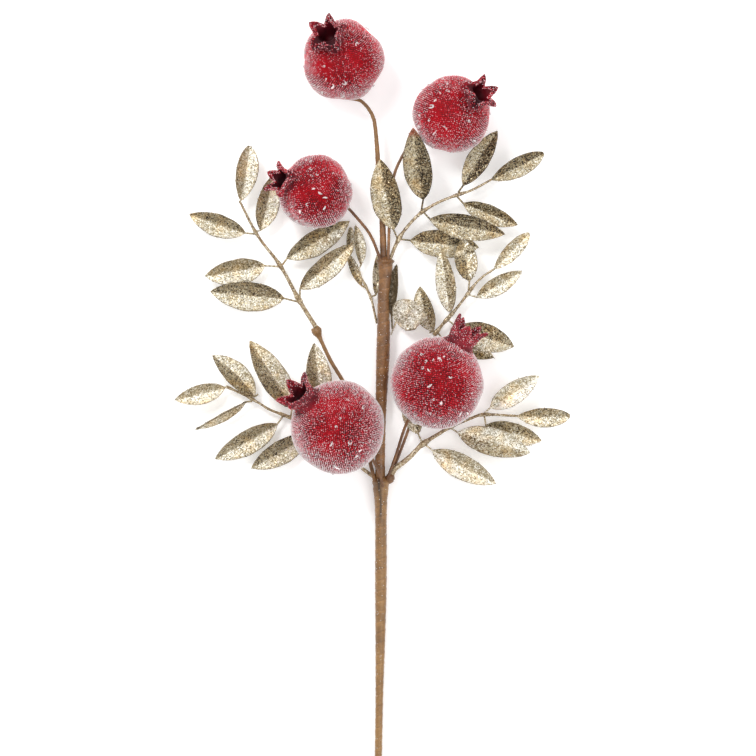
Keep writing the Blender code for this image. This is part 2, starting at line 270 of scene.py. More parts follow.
def threadGrain():
    # a thin bent thread of length one, three-sided, tapering to its free end
    part = np.linspace(0, 1, 5)[:, None]
    turn = np.linspace(0, 2 * math.pi, 3, endpoint=False)
    wide = 0.045 * (1.1 - part)
    return ringGrain(np.stack([0.3 * part**2 + wide * np.cos(turn),
                               0.08 * np.sin(5 * part) + wide * np.sin(turn),
                               part + 0 * turn], axis=2))


def curlGrain():
    # three quarters of a thick uneven ring, open on one side
    bend = np.linspace(0.4, 5.3, 8)
    turn = np.linspace(0, 2 * math.pi, 5, endpoint=False)
    thick = np.array([0.2, 0.34, 0.3, 0.4, 0.28, 0.36, 0.3, 0.18])[:, None]
    wide = 0.8 + thick * np.cos(turn)
    points, faces = ringGrain(np.stack([wide * np.cos(bend)[:, None], 0.75 * wide * np.sin(bend)[:, None],
                                        1.1 * thick * np.sin(turn) + 0 * wide], axis=2))
    return points, faces[:, ::-1]


def shardGrain():
    # a long uneven five-sided splinter with blunt ends
    turn = np.linspace(0, 2 * math.pi, 5, endpoint=False)
    along = np.array([-1.2, -0.6, 0.2, 1.1])[:, None]
    thick = np.array([0.25, 0.5, 0.42, 0.2])[:, None]
    shift = np.array([0.1, 0.0, -0.12, 0.15])[:, None]
    points, faces = ringGrain(np.stack([along + 0.18 * np.cos(3 * turn), thick * np.cos(turn) + shift,
                                        0.8 * thick * np.sin(turn)], axis=2))
    return points, faces[:, ::-1]


def ripple(parts, turns, seed):
    # a smooth uneven wave over two parameters: the mean of a few sines of random pace and phase
    rng = np.random.default_rng(seed)
    sines = 6
    total = 0
    for k in range(sines):
        total = total + np.sin(parts * rng.uniform(2, 9) * math.pi + turns * rng.integers(0, 4)
                               + rng.uniform(0, 6.28))
    return total / sines


def feed(tree, value, socket):
    # an input takes another node's output or a fixed value
    if isinstance(value, bpy.types.NodeSocket):
        tree.links.new(value, socket)
    else:
        socket.default_value = value


def addNode(tree, kind, **values):
    # a node with its settings and its named inputs
    node = tree.nodes.new(kind)
    for key, value in values.items():
        label = key.replace("_", " ")
        if label in node.inputs:
            feed(tree, value, node.inputs[label])
        else:
            setattr(node, key, value)
    return node


def doMath(tree, operation, first, second, kind="ShaderNodeMath"):
    # a maths node over two values or two vectors
    node = addNode(tree, kind, operation=operation)
    feed(tree, first, node.inputs[0])
    feed(tree, second, node.inputs["Scale" if operation == "SCALE" else 1])
    return node.outputs[0]


def mixColours(tree, first, second, share=1.0, blend="MIX"):
    # the second colour laid over the first by its share
    node = addNode(tree, "ShaderNodeMix", data_type="RGBA", blend_type=blend)
    for place, value in ((0, share), (6, first), (7, second)):
        feed(tree, (*value, 1) if isinstance(value, tuple) else value, node.inputs[place])
    return node.outputs[2]


def readMark(tree, name):
    # the value that keepMark has kept
    return addNode(tree, "ShaderNodeAttribute", attribute_name=name).outputs["Fac"]


def rampFrom(tree, source, stops):
    # a value turned into a colour by stops of (place, colour)
    node = addNode(tree, "ShaderNodeValToRGB", Fac=source)
    elements = node.color_ramp.elements
    while len(elements) < len(stops):
        elements.new(0.5)
    for element, (place, colour) in zip(elements, stops):
        element.position = place
        element.color = (*colour, 1)
    return node.outputs["Color"]


def dressShader(tree, shader, colour, normal):
    tree.links.new(colour, shader.inputs["Base Color"])
    tree.links.new(normal, shader.inputs["Normal"])


def fibreBump(tree, height, strength, depth):
    bump = addNode(tree, "ShaderNodeBump", Strength=strength, Distance=depth, Height=height)
    return bump.outputs["Normal"]


def newGroup(name, inputs, outputs):
    # an empty node group with its named sockets
    tree = bpy.data.node_groups.new(name, "ShaderNodeTree")
    for label, kind, value in inputs:
        tree.interface.new_socket(label, in_out="INPUT", socket_type=kind).default_value = value
    for label, kind in outputs:
        tree.interface.new_socket(label, in_out="OUTPUT", socket_type=kind)
    return tree, tree.nodes.new("NodeGroupInput"), tree.nodes.new("NodeGroupOutput")


def makeGlitterGroup():
    # cells of random shade and random tilt: a bed of glitter flakes
    tree, given, out = newGroup(
        "glitterBed",
        [("Scale", "NodeSocketFloat", 1000.0), ("Tilt", "NodeSocketFloat", 0.6),
         ("Shift", "NodeSocketFloat", 0.0)],
        [("Shade", "NodeSocketFloat"), ("Normal", "NodeSocketVector")])
    where = addNode(tree, "ShaderNodeTexCoord").outputs["Object"]
    cells = addNode(tree, "ShaderNodeTexVoronoi", Vector=where, Scale=given.outputs["Scale"])
    split = addNode(tree, "ShaderNodeSeparateColor", Color=cells.outputs["Color"])
    patches = addNode(tree, "ShaderNodeTexNoise", Vector=where, Scale=130.0, Detail=3.0)
    drift = addNode(tree, "ShaderNodeMapRange", Value=patches.outputs["Fac"], From_Min=0.35, From_Max=0.65,
                    To_Min=-0.08, To_Max=0.08)
    shade = doMath(tree, "ADD", split.outputs["Red"], drift.outputs["Result"])
    shade = doMath(tree, "ADD", shade, given.outputs["Shift"])
    tree.links.new(shade, out.inputs["Shade"])
    vectors = "ShaderNodeVectorMath"
    lean = doMath(tree, "SUBTRACT", cells.outputs["Color"], (0.5, 0.5, 0.5), vectors)
    lean = doMath(tree, "SCALE", lean, given.outputs["Tilt"], vectors)
    lean = doMath(tree, "ADD", addNode(tree, "ShaderNodeNewGeometry").outputs["Normal"], lean, vectors)
    flat = addNode(tree, vectors, operation="NORMALIZE", Vector=lean)
    tree.links.new(flat.outputs["Vector"], out.inputs["Normal"])
    return tree


def makeMottleGroup():
    # soft uneven patches plus fine fibres, from none to full
    tree, given, out = newGroup(
        "mottle",
        [("Patch Scale", "NodeSocketFloat", 60.0), ("Fine Scale", "NodeSocketFloat", 900.0)],
        [("Patches", "NodeSocketFloat"), ("Fibres", "NodeSocketFloat")])
    where = addNode(tree, "ShaderNodeTexCoord").outputs["Object"]
    for source, target, detail in (("Patch Scale", "Patches", 4.0), ("Fine Scale", "Fibres", 6.0)):
        noise = addNode(tree, "ShaderNodeTexNoise", Vector=where, Scale=given.outputs[source],
                        Detail=detail, Roughness=0.6)
        tree.links.new(noise.outputs["Fac"], out.inputs[target])
    return tree


def newMaterial(name, **sockets):
    # a material with its Principled shader, uniform values set on the sockets
    material = bpy.data.materials.new(name)
    material.use_nodes = True
    tree = material.node_tree
    shader = tree.nodes["Principled BSDF"]
    for key, value in sockets.items():
        shader.inputs[key.replace("_", " ")].default_value = value
    return material, tree, shader


def placeGroup(tree, group, **values):
    return addNode(tree, "ShaderNodeGroup", node_tree=group, **values)


glitterGroup = makeGlitterGroup()
mottleGroup = makeMottleGroup()


leafLook = {
    "rows": 46,
    "columns": 21,
    "reachIn": 1.7,          # mm that a stalk runs on into the stem it is taped to
    "cup": 0.05,             # how far each half bows below flat, in parts of its width
    "flakesPerSquareMm": 0.5,
    "flakeSize": 0.55,       # mm
    "cellsPerMetre": 1350.0,
    "flakeTilt": 0.8,
    "paintedLitShift": 0.22,           # painted light: how much lighter the half that lies flatter, facing up, is painted, and the other half darker
    "dull": {"leaf_stem_1": 0.9},          # leaves painted a plain dark olive, with fewer loose flakes
    "flat": {"leaf_stem_2": 0.9},          # leaves that are opened out flat and round
    "threads": 4,            # most stray threads at one tip
    "threadLength": (1.0, 3.4),    # mm
    "bareTips": ["leaf_right_upper_2"],    # leaves whose tip has lost its glitter
    "stalk": 0.75,           # mm, a stalk's radius
    "veins": 0.1,            # mm, how high the veins stand
    "thickness": 0.3,        # mm from a blade's middle to its outside
    "glitter": [(0.0, (0.02, 0.012, 0.005)), (0.06, (0.11, 0.065, 0.025)), (0.15, (0.26, 0.19, 0.095)),
                (0.5, (0.4, 0.335, 0.205)), (0.8, (0.62, 0.555, 0.41)), (1.0, (0.95, 0.92, 0.82))],
    "warmth": [(0.46, (1, 1, 1)), (0.6, (1.04, 0.95, 0.82)), (0.72, (1.1, 0.88, 0.58))],
    "wornTint": (0.3, 0.24, 0.17),
    "rust": (0.22, 0.06, 0.025),
    "olive": (0.15, 0.11, 0.06),
    "lift": {                # how much paler or darker than the others a leaf's glitter is
        "leaf_stem_1": -0.2, "leaf_stem_2": 0.45, "leaf_right_middle_1": 0.12,
        "leaf_right_middle_3": 0.22, "leaf_right_middle_4": 0.2,
        "leaf_right_upper_1": -0.18, "leaf_right_upper_2": -0.3, "leaf_right_upper_3": -0.3,
        "leaf_right_upper_4": -0.2, "leaf_right_upper_5": -0.16, "leaf_right_upper_6": -0.2,
        "leaf_right_upper_7": -0.12, "leaf_right_lower_1": 0.46, "leaf_right_lower_2": 0.1,
        "leaf_right_lower_3": 0.1, "leaf_right_lower_4": 0.24, "leaf_right_lower_5": 0.3,
        "leaf_left_upper_1": 0.24, "leaf_left_upper_2": -0.02, "leaf_left_upper_3": 0.1,
        "leaf_left_upper_4": 0.2, "leaf_left_upper_5": -0.04, "leaf_left_upper_6": -0.04,
        "leaf_left_upper_7": 0.05, "leaf_left_lower_1": 0.26, "leaf_left_lower_2": 0.05,
        "leaf_left_lower_3": 0.02, "leaf_left_lower_4": -0.02, "leaf_left_lower_5": 0.08,
        "leaf_left_lower_6": -0.06, "leaf_left_lower_7": 0.08, "leaf_centre_1": 0.1,
    },
}


def bladeOutline(s):
    # half width along a blade: a pointed lens, fullest before the middle
    return (4 * s * (1 - s))**0.8 * (1.12 - 0.24 * s)


def makeLeafMaterial(name, look, shift):
    # glitter with warm patches, darker on worn edges, rusty on a bare tip and plain olive where marked
    # dull; the half of a blade that faces up is painted lighter and the other darker, painted light and
    # shade
    material, tree, shader = newMaterial(name, Metallic=0.35, Roughness=0.32, Specular_IOR_Level=0.6)
    # painted light and shade: the blade's upward half shifted lighter and the other half darker, plus each
    # leaf's own lift in tone
    paintedLitShift = doMath(tree, "MULTIPLY", readMark(tree, "paintedLitHalf"), shift)
    paintedLitShift = doMath(tree, "ADD", paintedLitShift, readMark(tree, "lift"))
    bed = placeGroup(tree, glitterGroup, Scale=look["cellsPerMetre"], Tilt=look["flakeTilt"], Shift=paintedLitShift)
    mottle = placeGroup(tree, mottleGroup, Patch_Scale=75.0)
    colour = rampFrom(tree, bed.outputs["Shade"], look["glitter"])
    warmth = rampFrom(tree, mottle.outputs["Patches"], look["warmth"])
    colour = mixColours(tree, colour, warmth, blend="MULTIPLY")
    colour = mixColours(tree, colour, look["wornTint"], readMark(tree, "edge"), "MULTIPLY")
    colour = mixColours(tree, colour, look["rust"], readMark(tree, "bare"))
    colour = mixColours(tree, colour, look["olive"], readMark(tree, "dull"))
    dressShader(tree, shader, colour, bed.outputs["Normal"])
    return material


# the blades get the painted lit half; the loose flakes, with no shift, get none
leafGlitter = makeLeafMaterial("leafGlitter", leafLook, leafLook["paintedLitShift"])
flakeGold = makeLeafMaterial("flakeGold", leafLook, 0.0)


def leafSurface(leaf, look, seed, flat):
    # rings along stalk and blade: each ring goes out over the top from edge to edge and back below.
    # Sideways a point stands part t of the half width out, along the left or the right direction.
    s = np.linspace(0, 1, look["rows"])
    t = np.linspace(-1, 1, look["columns"])[None]
    stalkRows = 7
    blade = leaf["base"] + s[:, None] * (leaf["tip"] - leaf["base"])
    blade = blade + (4 * s * (1 - s))[:, None] * leaf["arch"]
    u = np.linspace(0, 1, stalkRows, endpoint=False)[:, None]
    start = leaf["root"] + unit(leaf["root"] - leaf["base"]) * (look["reachIn"] * mm)
    rib = np.vstack([start * (1 - u) + leaf["base"] * u, blade])
    k = np.r_[np.zeros(stalkRows), s]
    waves = 1 + 0.035 * ripple(k, 0, seed)
    half = leaf["half"] * bladeOutline(k)**(1 - 0.4 * flat) * waves
    stalk = look["stalk"] * mm
    reach = np.maximum(half, stalk * (1 - 0.5 * k))
    isBlade = np.clip((half - stalk) / (2.0 * mm), 0, 1)[:, None]
    ahead = unit(np.gradient(rib, axis=0))
    left = unit(leaf["left"] - (ahead @ leaf["left"])[:, None] * ahead)
    right = unit(leaf["right"] - (ahead @ leaf["right"])[:, None] * ahead)
    up = left + right
    up = unit(up - (up * ahead).sum(axis=1)[:, None] * ahead)
    level = np.cross(up, ahead)
    left = left + (level - left) * flat
    right = right - (level + right) * flat
    out = np.where((t < 0)[..., None], right[:, None] * -t[..., None], left[:, None] * t[..., None])
    out = isBlade[..., None] * out + (1 - isBlade[..., None]) * level[:, None] * t[..., None]
    middle = rib[:, None] + reach[:, None, None] * out
    veins = np.sin((k[:, None] * 9 - np.abs(t) * 2.2) * 2 * math.pi) * np.abs(t) * (1 - t**2)
    bow = look["veins"] * mm * veins - look["cup"] * half[:, None] * 4 * np.abs(t) * (1 - np.abs(t))
    curl = 0.05 * half[:, None] * ripple(k[:, None], t * 2, seed + 7) * np.abs(t)
    middle = middle + ((bow + curl) * isBlade)[..., None] * up[:, None]
    thickness = isBlade * (look["thickness"] + 0.25 * np.exp(-(t / 0.09)**2)) * mm * (1 - 0.75 * t**8)
    thickness = thickness + (1 - isBlade) * reach[:, None] * np.sqrt(np.clip(1 - t**2, 0.02, 1))
    top = middle + thickness[..., None] * up[:, None]
    below = middle - thickness[..., None] * up[:, None]
    spots = np.concatenate([top, below[:, ::-1]], axis=1)
    litHalfSide = np.where(left[:, 2:] < right[:, 2:], 1, -1)     # the half that lies flatter faces up and is painted lighter, the other darker: painted light and shade
    paintedLitHalf = np.clip(litHalfSide * t * 16, -1, 1)
    paintedLitHalf = np.concatenate([paintedLitHalf, paintedLitHalf[:, ::-1]], axis=1) * isBlade * (1 - flat)
    edge = np.clip((np.abs(t) - 0.88) / 0.1, 0, 1) * 0.8 + 0.45 * np.exp(-(t / 0.045)**2)
    edge = np.concatenate([edge, edge[:, ::-1]], axis=1) * isBlade + 0.3 * (1 - isBlade)
    bare = np.clip((k - 0.86) / 0.07, 0, 1)[:, None] + 0 * paintedLitHalf
    return spots, dict(paintedLitHalf=paintedLitHalf, edge=edge, bare=bare), top, up, half, k


def makeLeaf(node, look, seed):
    # the blade as a piece; its loose flakes and threads are given back, to be joined by sprig
    leaf = readLeaf(node)
    spots, marks, top, up, half, k = leafSurface(leaf, look, seed, look["flat"].get(node, 0.0))
    dull = look["dull"].get(node, 0.0)
    marks["lift"] = np.full(marks["paintedLitHalf"].shape, look["lift"].get(node, 0.0))
    marks["dull"] = np.full(marks["paintedLitHalf"].shape, dull)
    if node not in look["bareTips"]:
        marks.pop("bare")
    makePiece(node + ".blade", spots, leafGlitter, [node], marks)
    # loose flakes stand on the upper side, over the edges and, one in four, below
    rng = np.random.default_rng(seed)
    area = np.trapz(half, k * np.linalg.norm(leaf["tip"] - leaf["base"])) * 2 / mm**2
    count = int(area * look["flakesPerSquareMm"] * (1 - 0.8 * dull))
    row = rng.choice(len(half), count, p=half / half.sum())
    across = np.sign(rng.uniform(-1, 1, count)) * rng.uniform(0, 1, count)**0.8
    column = (across + 1) / 2 * (top.shape[1] - 1)
    low = np.clip(column.astype(int), 0, top.shape[1] - 2)
    blend = (column - low)[:, None]
    spot = top[row, low] * (1 - blend) + top[row, low + 1] * blend
    under = rng.uniform(size=count) < 0.25
    normal = up[row] * np.where(under, -1, 1)[:, None]
    spot = spot + normal * (0.1 * mm) - np.where(under, 0.7 * mm, 0)[:, None] * up[row]
    spot += rng.normal(0, 0.25 * mm, (count, 3))
    lean = unit(normal + rng.normal(0, 0.45, (count, 3)))
    sizes = look["flakeSize"] * mm * rng.uniform(0.55, 1.25, count)
    # a few stray threads of glue stand up from the tip
    threads = rng.integers(1, look["threads"] + 1)
    start = leaf["tip"] + rng.normal(0, 0.3 * mm, (threads, 3))
    stray = unit(leaf["tip"] - leaf["base"]) + rng.normal(0, 0.55, (threads, 3))
    stray[:, 2] = np.abs(stray[:, 2])
    return (spot, turnsFacing(lean, rng), sizes, start, turnsFacing(unit(stray), rng),
            rng.uniform(*look["threadLength"], threads) * mm)


print("leaves")
leafNames = sorted(n for n in nodes if n.startswith("leaf_"))
grains = [makeLeaf(name, leafLook, 10 + i) for i, name in enumerate(leafNames)]
sprigNames = ["left_upper", "left_lower", "right_upper", "right_middle", "right_lower", "centre", "stem"]
for sprig in sprigNames:
    own = [g for g, name in zip(grains, leafNames) if name.startswith("leaf_" + sprig + "_")]
    places, turns, sizes, starts, ways, lengths = (np.concatenate(column) for column in zip(*own))
    makeGrains("glitter_" + sprig, places, turns, sizes, flakeGrain(), flakeGold)
    makeGrains("threads_" + sprig, starts, ways, lengths, threadGrain(), flakeGold)


sprigLook = {
    "sides": 14,
    "step": 0.7,             # mm
    "rough": 0.11,
    "knot": 0.55,            # how much thicker the rod is where a leaf joins
    "knotLength": 2.2,       # mm
    "reachDown": 2.0,        # mm that a rod runs on at each end, into the tape and the last leaf
    "reachUp": 2.2,
    "stout": {"sprig_right_lower": 0.7, "sprig_left_upper": 0.3},   # extra width at a sprig's start
    "crumbsPerMm": 2.4,
    "gold": [(0.0, (0.08, 0.045, 0.018)), (0.2, (0.24, 0.15, 0.07)), (0.7, (0.38, 0.28, 0.15)),
             (1.0, (0.7, 0.62, 0.46))],
}


def makeSprigMaterial(look):
    material, tree, shader = newMaterial("sprigGold", Metallic=0.3, Roughness=0.3, Coat_Weight=0.5,
                                         Coat_Roughness=0.15)
    bed = placeGroup(tree, glitterGroup, Scale=1100.0, Tilt=0.35, Shift=0.0)
    dressShader(tree, shader, rampFrom(tree, bed.outputs["Shade"], look["gold"]), bed.outputs["Normal"])
    return material


def makeSprig(node, look, seed):
    # a rod that thins toward its end and swells where leaves join; its glitter crumbs are given back
    middles, radii = readTube(node)
    middles, length = runOn(middles, look["reachDown"], look["reachUp"])
    count = int(length / (look["step"] * mm))
    line = smoothLine(middles, count)
    part = np.linspace(0, 1, count)[:, None]
    turn = np.linspace(0, 2 * math.pi, look["sides"], endpoint=False)[None]
    wide = radii.mean() * (1.0 - 0.42 * part) * (1 + look["stout"].get(node, 0.0) * (1 - part)**2)
    own = node.replace("sprig", "leaf") + "_"
    joints = np.array([root for name, root in leafRoots.items() if name.startswith(own)])
    reach = np.linalg.norm(line[:, None] - joints[None], axis=2).min(axis=1)[:, None] / mm
    wide = wide * (1 + look["knot"] * np.exp(-((reach - 2) / look["knotLength"])**2))
    rough = 1 + look["rough"] * ripple(part * 14, turn, seed) + 0.06 * ripple(part * 60, turn, seed + 1)
    spots = tubeSpots(line, wide * rough, look["sides"])
    makePiece(node + ".rod", spots, sprigGold, [node], {})
    rng = np.random.default_rng(seed)
    crumbs = int(look["crumbsPerMm"] * count * look["step"])
    chance = (1 + 7 * np.exp(-(reach / 3)**2)).ravel()
    row = rng.choice(count, crumbs, p=chance / chance.sum())
    spot = spots[row, rng.integers(0, look["sides"], crumbs)]
    lean = unit(spot - line[row] + rng.normal(0, 0.4 * mm, (crumbs, 3)))
    return spot, turnsFacing(lean, rng), rng.uniform(0.3, 0.8, crumbs) * mm


print("sprigs")
leafRoots = {name: readLeaf(name)["root"] for name in leafNames}
sprigGold = makeSprigMaterial(sprigLook)
rods = sorted(n for n in nodes if n.startswith("sprig_"))
sprigGrains = [makeSprig(name, sprigLook, 90 + i) for i, name in enumerate(rods)]
places, turns, sizes = (np.concatenate(column) for column in zip(*sprigGrains))
makeGrains("crumbs_sprigs", places, turns, sizes, flakeGrain(), flakeGold)


tapeLook = {
    "sides": 28,
    "step": 0.45,            # mm, like the lengths below
    "pitch": 8.5,            # from one turn of tape to the next
    "edge": 0.28,            # how far a turn's edge stands up
    "crinkle": 0.14,
    "lines": 0.035,          # fine lines across the tape
    "brown": [(0.32, (0.085, 0.03, 0.009)), (0.5, (0.165, 0.066, 0.02)), (0.68, (0.29, 0.13, 0.044))],
    "tan": [(0.3, (0.18, 0.09, 0.028)), (0.5, (0.24, 0.123, 0.037)), (0.7, (0.32, 0.175, 0.056))],
    # painted shade in the step under each turn's edge, rising to a painted highlight on the raised lip
    "paintedStepShading": [(0.0, (0.62, 0.6, 0.58)), (0.14, (0.95, 0.95, 0.95)), (0.8, (1, 1, 1)),
             (1.0, (1.22, 1.2, 1.18))],
    "fibres": [(0.34, (0.7, 0.68, 0.66)), (0.5, (1, 1, 1)), (0.66, (1.25, 1.25, 1.25))],
    "slitColour": (0.03, 0.016, 0.007),
    "stems": {               # how each is wound; makeTaped says what the values are
        "stem_lower": {"reachUp": 5, "tan": (1.0, 0.8), "closing": 0.3, "collar": (0.34, 2.4),
                       "slit": 36, "glintFlecks": 200},
        "stem_middle": {"reachDown": 4, "reachUp": 4, "tan": (0.3, 0.3), "closing": 0.35,
                        "collar": (0.55, 1.9), "glintFlecks": 260},
        "stem_upper": {"reachDown": 4, "reachUp": 2, "tan": (0.1, 1.0)},
    },
    "wire": {"reachDown": 4, "reachUp": 2, "tan": (0.1, 0.1)},
    "ownWire": {"wire_left_upper": {"reachUp": 3, "tan": (0.4, 0.9), "collar": (1.7, 4.4), "stout": 1.3}},
    "cuff": {"span": 9, "swelling": 1.5},
}


def makeTapeMaterial(look):
    # brown tape, tan where it is marked so, with painted shade just under each wound edge and a painted
    # highlight along its raised lip, with fibres and an open slit
    material, tree, shader = newMaterial("paperTape", Roughness=0.45, Coat_Weight=0.25, Coat_Roughness=0.18)
    mottle = placeGroup(tree, mottleGroup, Patch_Scale=70.0, Fine_Scale=1300.0)
    brown = rampFrom(tree, mottle.outputs["Patches"], look["brown"])
    tan = rampFrom(tree, mottle.outputs["Patches"], look["tan"])
    # painted shade and highlight across each turn of tape, read from its wrap
    paintedStepShading = rampFrom(tree, readMark(tree, "wrap"), look["paintedStepShading"])
    fibres = rampFrom(tree, mottle.outputs["Fibres"], look["fibres"])
    colour = mixColours(tree, brown, tan, readMark(tree, "tan"))
    colour = mixColours(tree, colour, paintedStepShading, blend="MULTIPLY")
    colour = mixColours(tree, colour, fibres, blend="MULTIPLY")
    colour = mixColours(tree, colour, look["slitColour"], readMark(tree, "slit"))
    dressShader(tree, shader, colour, fibreBump(tree, mottle.outputs["Fibres"], 0.5, 0.0004))
    return material


def makeTaped(node, look, seed, reachDown=0, reachUp=0, tan=(0, 0), closing=0.0, collar=(0.0, 2.2),
              slit=0, glintFlecks=0, stout=1.0):
    # tape wound in a spiral: the radius climbs across each turn of tape and drops at its edge.
    # Ends run on past the CAD ring by so many millimetres, so that no gap shows where pieces are taped
    # together, and the upper one closes by a part of its width. Tan goes from the lower end's share to
    # the upper one's. A collar, as how much it widens and over how many millimetres, ends in an uneven
    # rim. A slit runs down the upper side from that end, and white flecks stick to the tape: partly
    # glitter, partly painted glints.
    middles, radii = readTube(node)
    radii = np.r_[radii[:1] if reachDown else [], radii, radii[-1:] * (1 - closing)]
    middles, length = runOn(middles, reachDown, reachUp)
    count = int(length / (look["step"] * mm))
    line = smoothLine(np.c_[middles, radii], count)
    along = np.linspace(0, length / mm, count)[:, None]
    turn = np.linspace(0, 2 * math.pi, look["sides"], endpoint=False)[None]
    pitch = look["pitch"] * (0.55 + 0.45 * radii.mean() / (4 * mm))
    drift = 0.18 * ripple(along / 60, turn * 0, seed)
    wrap = (along / pitch + turn / (2 * math.pi) + drift) % 1.0
    edge = look["edge"] * mm * min(1, radii.mean() / (3 * mm))
    crinkle = look["crinkle"] * mm * ripple(along / 4, turn * 3, seed + 1)
    lines = look["lines"] * mm * np.random.default_rng(seed).normal(0, 1, (count, 1))
    wide = stout * line[:, 3:4] + edge * (wrap - 0.5) + crinkle + lines
    fromEnd = along - along[-1]
    wide = wide * (1 + collar[0] * np.exp(-((fromEnd + 3) / collar[1])**2))
    spots = tubeSpots(line[:, :3], wide, look["sides"])
    torn = min(collar[0], 0.2) * 7 * mm * np.exp(fromEnd / 1.5) * ripple(turn * 0.9, turn * 2, seed + 2)
    spots += torn[..., None] * unit(middles[-1] - middles[-2])
    lighter = np.linspace(tan[0], tan[1], count)[:, None] + 0 * turn
    opening = np.exp(-((turn - 1.75 - 0.15 * np.sin(along / 9)) / 0.16)**2)
    opening = opening * np.clip((fromEnd + slit) / 6, 0, 1) * (slit > 0)
    makePiece(node + ".tape", spots, paperTape, [node],
              {"wrap": wrap, "tan": lighter, "slit": opening})
    if glintFlecks:
        rng = np.random.default_rng(seed)
        row = rng.integers(0, count, glintFlecks)
        spot = spots[row, rng.integers(0, look["sides"], glintFlecks)]
        turns = turnsFacing(unit(spot - line[row, :3]), rng)
        makeGrains(node + ".flecks", spot, turns, rng.uniform(0.2, 0.5, glintFlecks) * mm, flakeGrain(),
                   glintFleckWhite)


def makeCuff(node, look, seed, span, swelling):
    # a few turns of tape round the first millimetres of a sprig, thickest in the middle
    middles, radii = readTube(node)
    middles, length = runOn(middles, 3.5, 0)
    line = smoothLine(middles, int(length / (look["step"] * mm)))[:int(span / look["step"])]
    part = np.linspace(0, 1, len(line))[:, None]
    turn = np.linspace(0, 2 * math.pi, look["sides"], endpoint=False)[None]
    wrap = (part * 2.5 + turn / (2 * math.pi)) % 1.0
    wide = radii.mean() * (0.95 + swelling * np.sin(math.pi * part)**0.6) + 0.25 * mm * (wrap - 0.5)
    wide = wide * (1 + 0.1 * ripple(part * 2, turn, seed))
    makePiece(node + ".cuff", tubeSpots(line, wide, look["sides"]), paperTape, None,
              {"wrap": wrap, "tan": 0.25 + 0 * wrap})


print("stems and wires")
paperTape = makeTapeMaterial(tapeLook)
# white flecks on the tape: partly glitter, partly painted glints
glintFleckWhite = newMaterial("glintFleckWhite", Base_Color=(0.93, 0.9, 0.85, 1), Roughness=0.2)[0]
makeCuff("sprig_right_lower", tapeLook, 231, **tapeLook["cuff"])
for i, (name, winding) in enumerate(tapeLook["stems"].items()):
    makeTaped(name, tapeLook, 201 + i, **winding)
for i, name in enumerate(sorted(n for n in nodes if n.startswith("wire_"))):
    makeTaped(name, tapeLook, 210 + i, **{**tapeLook["wire"], **tapeLook["ownWire"].get(name, {})})


fruitLook = {
    "columns": 160,
    "bodyRows": 60,
    "beadPitch": 1.58,       # mm between neighbouring beads
    "beadRadius": 0.52,
    "beadLift": 0.38,        # mm from the skin to a bead's middle
    "frostBeads": 1900,      # small beads on each crown
    "mostBeads": 9900,       # in one piece
    "chips": 36,             # large clear chips on each fruit
    "chipSize": (1.3, 2.3),  # mm
    "neck": 0.33,            # from here on in parts of the fruit's radius
    "tube": 0.27,
    "tubeTop": 1.14,
    "valley": 0.07,          # how far the rim stands out between two sepals
    "wall": 0.1,
    "hole": ((1.08, 0.2), (1.0, 0.17), (0.92, 0.14), (0.88, 0.08), (0.87, 0.015)),   # height and width
    "red": [(0.35, (0.04, 0.001, 0.003)), (0.5, (0.11, 0.002, 0.005)), (0.65, (0.28, 0.002, 0.008))],
    # by crown mark: maroon on the sepals, then darker down into the hole, a painted shade
    "maroonAndHoleShade": [(0.0, (1, 1, 1)), (0.5, (0.8, 1.0, 1.4)), (1.0, (0.16, 0.3, 0.4))],
    # pink laid on the skin: real frost on the crown's wall and lip, a painted sheen down the body's sides
    "frostAndSheenPink": (0.72, 0.24, 0.28),
    "beads": [(0.0, (0.09, 0.003, 0.012)), (0.1, (0.68, 0.001, 0.01)), (0.25, (0.9, 0.03, 0.055)),
              (0.5, (0.95, 0.4, 0.44)), (0.85, (1, 0.95, 0.95))],
}

# each fruit's own look. ribs: how far its lobes stand out. frost and sheen: how milky its beads are on top,
# and how much more so down its sides, where the extra milkiness and the skin's pink are a painted sheen.
# sepals, from the
# first: length in parts of the radius, lean at foot and tip in degrees from the crown's axis, and thickness
# against the wall
fruits = {
    "fruit_top": {"ribs": 0.055, "frostAndSheen": (0.1, 0.5), "sepals": [
        (0.38, 0, 38, 1), (0.36, 15, 70, 1), (0.27, 50, 160, 2.4), (0.28, 50, 170, 2.7),
        (0.34, 12, 75, 1.6)]},
    "fruit_right_top": {"ribs": 0.046, "frostAndSheen": (0.1, 0.46), "sepals": [
        (0.37, 0, 40, 1), (0.3, 60, 175, 2.3), (0.27, 50, 155, 2.7), (0.33, 12, 70, 1.1),
        (0.36, 5, 50, 1)]},
    "fruit_left_top": {"ribs": 0.062, "frostAndSheen": (0.08, 0.58), "sepals": [
        (0.36, 0, 60, 1), (0.34, 10, 50, 1), (0.38, 5, 55, 1), (0.36, 30, 115, 1.2),
        (0.3, 45, 150, 1.8)]},
    "fruit_left_low": {"ribs": 0.02, "frostAndSheen": (0.15, 0.72), "sepals": [
        (0.34, 5, 55, 1), (0.36, 0, 40, 1), (0.34, 8, 50, 1), (0.24, 10, 70, 1.5),
        (0.24, 30, 110, 2.0)]},
    "fruit_right_low": {"ribs": 0.014, "frostAndSheen": (0.05, 0.8), "sepals": [
        (0.42, 0, 12, 1.1), (0.3, 5, 30, 1.4), (0.38, 5, 45, 1), (0.36, 0, 30, 1.2),
        (0.36, 0, 20, 1)]},
}


